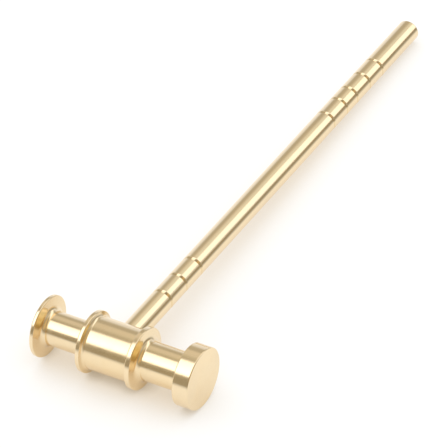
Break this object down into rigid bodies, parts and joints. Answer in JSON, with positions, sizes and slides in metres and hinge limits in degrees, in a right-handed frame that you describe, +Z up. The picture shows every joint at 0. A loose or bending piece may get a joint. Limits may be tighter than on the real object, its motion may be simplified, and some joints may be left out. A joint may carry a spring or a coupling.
{
  "type": "carving mallet",
  "caption": "Solid brass carving mallet: turned spool head with a thick flat disc and a thin flared disc, and a slim grooved rod handle.",
  "frame": {"origin": "bottom centre of the bounding box with the mallet lying on a bench: the head's flanges and the free end of the handle touch z = 0", "axes": "+X along the head's axis towards the thick flat disc, +Y along the handle towards its free end, +Z up"},
  "size_m": [0.071, 0.2586, 0.0254],
  "materials": {
    "head_brass": "fine turned, lightly polished, unlacquered",
    "handle_brass": "drawn rod, fine turned and polished",
    "stud_steel": "plain cut thread"
  },
  "bodies": {
    "root": {"head": "head_brass", "handle": "handle_brass", "joining_stud": "stud_steel"}
  },
  "joints": []
}
